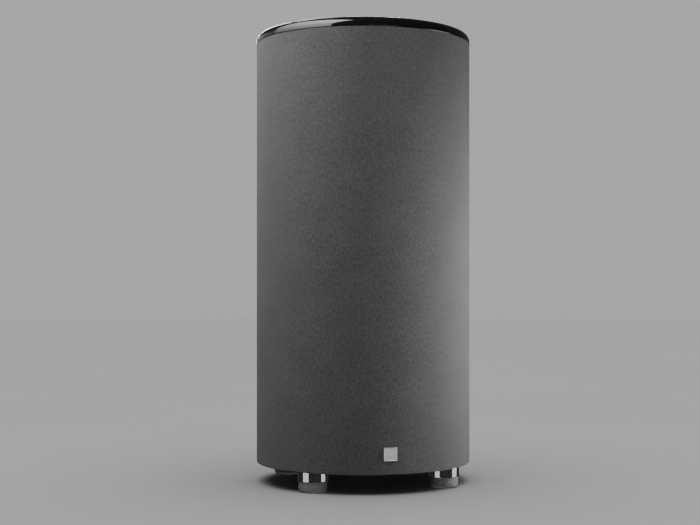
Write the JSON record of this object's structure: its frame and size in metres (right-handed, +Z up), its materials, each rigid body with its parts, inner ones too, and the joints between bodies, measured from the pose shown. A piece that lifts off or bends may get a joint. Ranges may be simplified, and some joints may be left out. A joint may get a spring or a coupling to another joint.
{
  "type": "subwoofer",
  "caption": "Tall cylindrical subwoofer in dark knit fabric, with a gloss cap, a flared top port, a downward-firing driver and a recessed rear amplifier panel.",
  "frame": {"origin": "on the floor, on the cabinet's axis", "axes": "+Z up along the cabinet's axis, -Y towards the front, where the badge is, +Y towards the amplifier panel, +X to the right seen from the front"},
  "size_m": [0.422, 0.426, 0.881],
  "materials": {
    "wrap_fabric": "fine dark heathered knit, stretched tight",
    "cabinet_fibreboard": "bare medium-density fibreboard",
    "gloss_black": "polished black lacquer",
    "moulded_black": "fine moulded texture",
    "control_black": "satin moulded controls",
    "lining_wadding": "loose polyester wadding",
    "badge_metal": "brushed square with a polished border",
    "foot_chrome": "polished chrome plate",
    "foot_rubber": "matte dark rubber with a fine grain",
    "cast_basket": "textured black powder coat over a casting",
    "driver_rubber": "soft satin butyl rubber",
    "cone_pulp": "pressed fibre, black",
    "spider_cloth": "resin-dipped woven cloth",
    "magnet_ferrite": "pressed ferrite, matte",
    "plated_steel": "bright zinc plate",
    "black_steel": "black coated steel",
    "coil_former": "bare aluminium",
    "coil_wire": "enamelled copper wire",
    "amp_plate": "fine-textured black coat",
    "smoked_window": "smoked acrylic",
    "circuit_board": "green solder mask"
  },
  "bodies": {
    "cabinet": {"acoustic_lining": "lining_wadding", "amp_bezel": "moulded_black", "amp_faceplate": "amp_plate", "amp_housing": "black_steel", "badge": "badge_metal", "bottom_baffle": "cabinet_fibreboard", "cabinet_tube": "cabinet_fibreboard", "driver_basket": "cast_basket", "driver_magnet": "magnet_ferrite", "driver_screw_1": "black_steel", "driver_screw_2": "black_steel", "driver_screw_3": "black_steel", "driver_screw_4": "black_steel", "driver_screw_5": "black_steel", "driver_screw_6": "black_steel", "driver_spider": "spider_cloth", "driver_surround": "driver_rubber", "driver_terminals": "moulded_black", "driver_top_plate": "plated_steel", "driver_trim_ring": "driver_rubber", "driver_yoke": "black_steel", "fabric_sleeve": "wrap_fabric", "foot_collar_front_left": "foot_chrome", "foot_collar_front_right": "foot_chrome", "foot_collar_rear_left": "foot_chrome", "foot_collar_rear_right": "foot_chrome", "foot_pad_front_left": "foot_rubber", "foot_pad_front_right": "foot_rubber", "foot_pad_rear_left": "foot_rubber", "foot_pad_rear_right": "foot_rubber", "heat_sink": "coil_former", "indicator_window": "smoked_window", "input_board": "circuit_board", "line_jack_block": "moulded_black", "mode_switch_body": "moulded_black", "plate_screw_1": "black_steel", "plate_screw_2": "black_steel", "plate_screw_3": "black_steel", "plate_screw_4": "black_steel", "port_flare_inner": "moulded_black", "port_flare_outer": "moulded_black", "port_tube": "moulded_black", "power_board": "circuit_board", "power_inlet": "moulded_black", "reservoir_capacitor": "moulded_black", "rocker_frame": "moulded_black", "top_bulkhead": "cabinet_fibreboard", "top_cap": "gloss_black", "transformer": "magnet_ferrite", "trigger_jack": "plated_steel", "usb_port": "plated_steel"},
    "moving_cone": {"driver_cone": "cone_pulp", "driver_dust_cap": "cone_pulp", "voice_coil_former": "coil_former", "voice_coil_winding": "coil_wire"},
    "minus_key": {"button_minus": "control_black"},
    "select_key": {"button_select": "control_black"},
    "plus_key": {"button_plus": "control_black"},
    "mode_lever": {"mode_slider": "control_black"},
    "power_key": {"power_rocker": "control_black"}
  },
  "joints": [
    {"name": "cone_travel", "type": "slide", "parent": "cabinet", "child": "moving_cone", "axis": [0, 0, 1], "range_m": [-0.014, 0.014], "stiffness_N_per_m": 3200, "deforming": ["driver_surround", "driver_spider"]},
    {"name": "minus_press", "type": "slide", "parent": "cabinet", "child": "minus_key", "axis": [0, -1, 0], "range_m": [0, 0.0012], "stiffness_N_per_m": 1200},
    {"name": "select_press", "type": "slide", "parent": "cabinet", "child": "select_key", "axis": [0, -1, 0], "range_m": [0, 0.0012], "stiffness_N_per_m": 1200},
    {"name": "plus_press", "type": "slide", "parent": "cabinet", "child": "plus_key", "axis": [0, -1, 0], "range_m": [0, 0.0012], "stiffness_N_per_m": 1200},
    {"name": "mode_slide", "type": "slide", "parent": "cabinet", "child": "mode_lever", "axis": [1, 0, 0], "range_m": [-0.003, 0.003]},
    {"name": "power_tilt", "type": "hinge", "parent": "cabinet", "child": "power_key", "pos_m": [-0.038, 0.185, 0.157], "axis": [1, 0, 0], "range_deg": [0, 15]}
  ]
}
